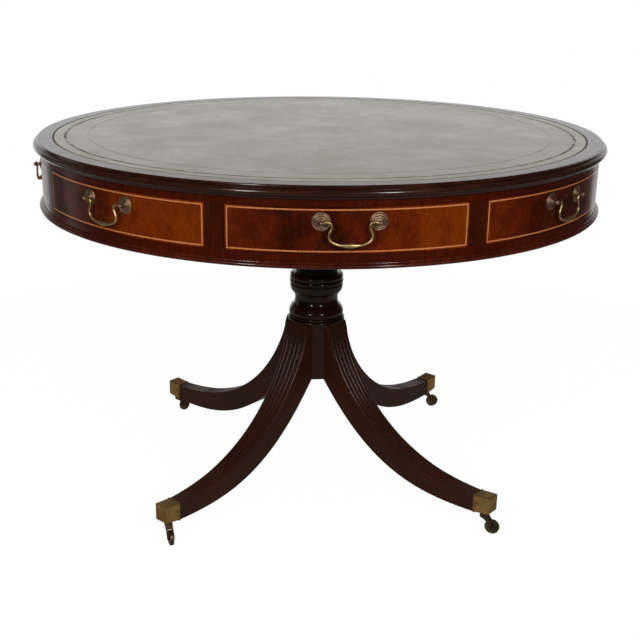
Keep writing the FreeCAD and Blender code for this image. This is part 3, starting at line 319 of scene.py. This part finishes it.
# Drawer boxes
# Thin oak sides, back and bottom, planed and waxed, paler than the outside. The grain runs the
# way each drawer slides.
oak_nodes = {"planed_oak_waxed": ("Y", ["drawer_front_box", "drawer_back_box"]),
             "planed_oak_waxed_across": ("X", ["drawer_right_box", "drawer_left_box"])}
for oak_name, (axis, names) in oak_nodes.items():
    planed_oak = wood(oak_name, straight_grain(axis), "#7b5a34", "#9b7748", "#b8945f",
                      streak_mm=6, pore_mm=1.2, gloss=0.3, polish=0.1, roughness=0.5)
    dress(planed_oak, *names)

# Handles
# Turned roses and posts of coppery brown brass, and swan-neck bails of paler brass that hands
# have kept bright.
rose_brass = aged_brass("turned_brass_brown_tarnish", "#62493a", "#98785f", "#c9a88c",
                        grain_mm=2.0, roughness=0.45)
bail_brass = aged_brass("bent_brass_hand_rubbed", "#957743", "#c8a86d", "#e6cd9b",
                        grain_mm=2.0, roughness=0.38)
dress(rose_brass, "dummy_handle_mounts",
      *["drawer_%s_handle_mounts" % side for side in side_names])
dress(bail_brass, *["bail_" + place for place in side_names + corner_names])

# Top rim
# A solid mahogany border with a moulded edge, polished bright on the bead. Its quirks are
# painted black, a painted shade.
rim_polish = wood("moulded_mahogany_black_french_polish", straight_grain("X"),
                  "#1b0a05", "#2e140a", "#432010", streak_mm=10, painted_hollow_shade=0.6, gloss=0.12,
                  polish=0.45, polish_roughness=0.13, roughness=0.24)
dress(rim_polish, "top_rim")

# Leather
# Dark green hide skived thin, glued down in one disc and tooled blind with a line at the inside
# and a double line with small dashes near the edge. Waxed, rubbed and slightly cockled.
outer_tooling = 511.0
hide_edge = (531.5, 533.0)


def tooled_hide(name, dark, middle, pale):
    pebble_mm = 1.3
    patch_mm = 90
    scuff_mm = 12
    dirt_mm = 25
    dash_spacing = 4 * math.pi
    dash_band = (1.2, 0.4)
    dirt_band = (3.4, 2.2)
    wax = 0.6
    shine = 0.5
    made, tree = material(name)
    millimetres = in_millimetres(tree)
    parts = add(tree, "SeparateXYZ", links={0: millimetres})
    level = add(tree, "CombineXYZ",
                links={0: parts.outputs["X"], 1: parts.outputs["Y"]}).outputs[0]
    radius = add(tree, "VectorMath", {"operation": "LENGTH"}, {0: level}).outputs["Value"]
    angle = add(tree, "Math", {"operation": "ARCTAN2"},
                {0: parts.outputs["Y"], 1: parts.outputs["X"]}).outputs[0]
    pebble = add(tree, "TexVoronoi", {"Scale": 1 / pebble_mm, "feature": "DISTANCE_TO_EDGE"},
                 {"Vector": millimetres}).outputs["Distance"]
    patches = add(tree, "TexNoise", {"Scale": 1 / patch_mm, "Detail": 6.0, "Roughness": 0.62},
                  {"Vector": millimetres}).outputs["Fac"]
    scuffs = add(tree, "TexNoise", {"Scale": 1 / scuff_mm, "Detail": 5.0, "Distortion": 1.5},
                 {"Vector": millimetres}).outputs["Fac"]
    tone = add(tree, "Mix", {"data_type": "FLOAT", "Factor": 0.35},
               {2: patches, 3: scuffs}).outputs[0]
    colour = add(tree, "ValToRGB", {"stops": [(0.34, dark), (0.52, middle), (0.68, pale)]},
                 {"Fac": tone}).outputs["Color"]
    # A row of dashes, as a rolled tool leaves, halfway between the double line's two grooves
    off = add(tree, "Math", {"operation": "SUBTRACT", 1: outer_tooling}, {0: radius}).outputs[0]
    band = add(tree, "Math", {"operation": "ABSOLUTE"}, {0: off}).outputs[0]
    turns = 2 * math.pi * outer_tooling / dash_spacing
    along = add(tree, "Math", {"operation": "MULTIPLY", 1: turns}, {0: angle}).outputs[0]
    wave = add(tree, "Math", {"operation": "SINE"}, {0: along}).outputs[0]
    in_band = add(tree, "MapRange", {"From Min": dash_band[0], "From Max": dash_band[1]},
                  {"Value": band}).outputs["Result"]
    dashes = add(tree, "Math", {"operation": "MULTIPLY", "use_clamp": True},
                 {0: in_band, 1: wave}).outputs[0]
    # Dye and dirt, patchy along the double line and full at the hide's cut edge
    dirt = add(tree, "TexNoise", {"Scale": 1 / dirt_mm, "Detail": 2.0},
               {"Vector": millimetres}).outputs["Fac"]
    patchy = add(tree, "MapRange", {"From Min": 0.38, "From Max": 0.54},
                 {"Value": dirt}).outputs["Result"]
    beside = add(tree, "MapRange",
                 {"From Min": dirt_band[0], "From Max": dirt_band[1], "To Max": 0.9},
                 {"Value": band}).outputs["Result"]
    dirty = add(tree, "Math", {"operation": "MULTIPLY"}, {0: patchy, 1: beside}).outputs[0]
    cut_edge = add(tree, "MapRange", {"From Min": hide_edge[0], "From Max": hide_edge[1]},
                   {"Value": radius}).outputs["Result"]
    dirty = add(tree, "Math", {"operation": "MAXIMUM"}, {0: dirty, 1: cut_edge}).outputs[0]
    marks = add(tree, "Math", {"operation": "MAXIMUM"}, {0: dashes, 1: dirty}).outputs[0]
    colour = add(tree, "Mix", {"data_type": "RGBA", 7: linear("#0c0b08")},
                 {0: marks, 6: colour}).outputs[2]
    waxed = add(tree, "MapRange", {"To Min": wax, "To Max": 0.0},
                {"Value": marks}).outputs["Result"]
    shiny = add(tree, "MapRange", {"To Min": shine, "To Max": 0.0},
                {"Value": marks}).outputs["Result"]
    rough = add(tree, "MapRange",
                {"From Min": 0.3, "From Max": 0.7, "To Min": 0.24, "To Max": 0.5},
                {"Value": tone}).outputs["Result"]
    grain = add(tree, "Bump", {"Strength": 0.02, "Distance": 0.0002},
                {"Height": pebble}).outputs["Normal"]
    pressed = add(tree, "Bump", {"Strength": 0.6, "Distance": 0.0003, "invert": True},
                  {"Height": dashes, "Normal": grain}).outputs["Normal"]
    cockle = add(tree, "Bump", {"Strength": 0.25, "Distance": 0.002},
                 {"Height": patches, "Normal": pressed}).outputs["Normal"]
    finish_material(tree,
                    {"IOR": 1.5, "Specular IOR Level": shine, "Coat Weight": wax,
                     "Coat Roughness": 0.2, "Sheen Weight": 0.15, "Sheen Roughness": 0.5,
                     "Sheen Tint": (1.0, 0.92, 0.66, 1.0)},
                    {"Base Color": colour, "Roughness": rough, "Normal": cockle,
                     "Coat Weight": waxed, "Specular IOR Level": shiny})
    return made


hide = tooled_hide("skived_hide_dark_green_waxed", "#38321c", "#4a4226", "#5c5230")
dress(hide, "leather_inset")

# Room
# A round pale floor, two upright softboxes either side of the camera and a surround that is white
# to the camera. Polished faces see it as a lit backdrop low down behind the table, 84 degrees
# wide, a weaker light patch left of that, and a dim room elsewhere.
floor_radius = 1.6
floor_corners = 96
floor_angles = [2 * math.pi * index / floor_corners for index in range(floor_corners)]
floor_mesh = bpy.data.meshes.new("studio_floor")
floor_mesh.from_pydata([(floor_radius * math.cos(angle), floor_radius * math.sin(angle), 0)
                        for angle in floor_angles], [], [list(range(floor_corners))])
floor = bpy.data.objects.new("studio_floor", floor_mesh)
bpy.context.scene.collection.objects.link(floor)


def mirror_ray(tree, path):
    """1 for a ray that polished or clear things send on."""
    glossy, clear = path.outputs["Is Glossy Ray"], path.outputs["Is Transmission Ray"]
    return add(tree, "Math", {"operation": "MAXIMUM"}, {0: glossy, 1: clear}).outputs[0]


def studio_floor():
    """White paper: shaded as it is, and mostly plain white to the camera so that only contact
    shadows show. Polished faces near it mirror it a fifth as bright."""
    camera_share = 0.6
    mirror_share = 0.12
    made, tree = material("studio_paper_matt")
    path = add(tree, "LightPath")
    matt = add(tree, "BsdfDiffuse", {"Color": linear("#80807e")}).outputs[0]
    white = add(tree, "Emission", {"Color": (1, 1, 1, 1), "Strength": 1.6}).outputs[0]
    seen = add(tree, "Math", {"operation": "MULTIPLY", 1: camera_share},
               {0: path.outputs["Is Camera Ray"]}).outputs[0]
    share = add(tree, "Math", {"operation": "MULTIPLY_ADD", 1: mirror_share},
                {0: mirror_ray(tree, path), 2: seen}).outputs[0]
    mixed = add(tree, "MixShader", links={0: share, 1: matt, 2: white})
    add(tree, "OutputMaterial", links={"Surface": mixed.outputs[0]})
    return made


floor_mesh.materials.append(studio_floor())

# The surround goes by the direction of a ray, with X to the right, Y away from the camera and Z up
backdrop_edge = (0.75, 0.81)
backdrop_top = (0.42, 0.13)
patch_edge = (-0.75, -0.82)
patch_start = (0.3, 0.5)
patch_strength = 0.45
dim_strength, backdrop_strength = 0.04, 1.06
horizon = (-0.04, 0.04)
lit_below, lit_above = 0.06, 0.36
surround = bpy.data.worlds.new("studio_surround")
surround.use_nodes = True
surround.node_tree.nodes.clear()
sky = surround.node_tree
path = add(sky, "LightPath")
toward = add(sky, "SeparateXYZ", links={0: add(sky, "TexCoord").outputs["Generated"]})
turned_aside = add(sky, "Math", {"operation": "MULTIPLY_ADD", 1: 0.05},
                   {0: toward.outputs["X"], 2: toward.outputs["Y"]}).outputs[0]
behind = add(sky, "MapRange", {"From Min": backdrop_edge[0], "From Max": backdrop_edge[1]},
             {"Value": turned_aside}).outputs["Result"]
low = add(sky, "MapRange", {"From Min": backdrop_top[0], "From Max": backdrop_top[1]},
          {"Value": toward.outputs["Z"]}).outputs["Result"]
backdrop = add(sky, "Math", {"operation": "MULTIPLY"}, {0: behind, 1: low}).outputs[0]
leftward = add(sky, "MapRange",
               {"From Min": patch_edge[0], "From Max": patch_edge[1], "To Max": patch_strength},
               {"Value": toward.outputs["X"]}).outputs["Result"]
ahead = add(sky, "MapRange", {"From Min": patch_start[0], "From Max": patch_start[1]},
            {"Value": toward.outputs["Y"]}).outputs["Result"]
patch = add(sky, "Math", {"operation": "MULTIPLY"}, {0: leftward, 1: ahead}).outputs[0]
bright = add(sky, "Math", {"operation": "MAXIMUM"}, {0: backdrop, 1: patch}).outputs[0]
mirrored = add(sky, "MapRange", {"To Min": dim_strength, "To Max": backdrop_strength},
               {"Value": bright}).outputs["Result"]
lit = add(sky, "MapRange", {"From Min": horizon[0], "From Max": horizon[1],
                            "To Min": lit_below, "To Max": lit_above},
          {"Value": toward.outputs["Z"]}).outputs["Result"]
strength = add(sky, "Mix", {"data_type": "FLOAT"},
               {0: mirror_ray(sky, path), 2: lit, 3: mirrored}).outputs[0]
strength = add(sky, "Mix", {"data_type": "FLOAT", 3: 1.0},
               {0: path.outputs["Is Camera Ray"], 2: strength}).outputs[0]
room = add(sky, "Background", {"Color": (1, 1, 1, 1)}, {"Strength": strength})
add(sky, "OutputWorld", links={"Surface": room.outputs[0]})
bpy.context.scene.world = surround

lamp_target = (0, 0, 0.6)
lamp_size = (0.26, 1.0)
lamp_watts = 25


def softbox(name, place):
    light = bpy.data.lights.new(name, "AREA")
    light.shape = "RECTANGLE"
    light.size, light.size_y = lamp_size
    light.energy = lamp_watts
    lamp = bpy.data.objects.new(name, light)
    lamp.location = place
    aim = Vector(lamp_target) - Vector(place)
    lamp.rotation_euler = aim.to_track_quat("-Z", "Y").to_euler()
    bpy.context.scene.collection.objects.link(lamp)


softbox("softbox_left", (-1.39, -2.4, 1.7))
softbox("softbox_right", (0.91, -2.55, 1.7))

# Camera
# Placed where the photograph was taken from: 2.2 m from the column and a little over 1.1 m up,
# turned 4 degrees to the right and looking 19 degrees down. The photograph is a crop from right of
# its lens's middle, which the shift follows.
camera_place = (-0.2027, -2.1742, 1.0939)
heading = math.radians(4.09)
tilt = math.radians(18.661)
roll = math.radians(0.43)
camera_data = bpy.data.cameras.new("camera")
camera_data.sensor_width = 36
camera_data.lens = 59.42
camera_data.shift_x = 0.0399
camera_data.shift_y = -0.0057
camera_data.clip_end = 100
camera = bpy.data.objects.new("camera", camera_data)
look = Vector((math.sin(heading) * math.cos(tilt), math.cos(heading) * math.cos(tilt),
               -math.sin(tilt)))
right = Vector((math.cos(heading), -math.sin(heading), 0))
up = right.cross(look)
rolled_right = right * math.cos(roll) + up * math.sin(roll)
rolled_up = up * math.cos(roll) - right * math.sin(roll)
turned = Matrix((rolled_right, rolled_up, -look)).transposed().to_4x4()
camera.matrix_world = Matrix.Translation(camera_place) @ turned
bpy.context.scene.collection.objects.link(camera)
bpy.context.scene.camera = camera
bpy.context.scene.view_settings.view_transform = "Standard"
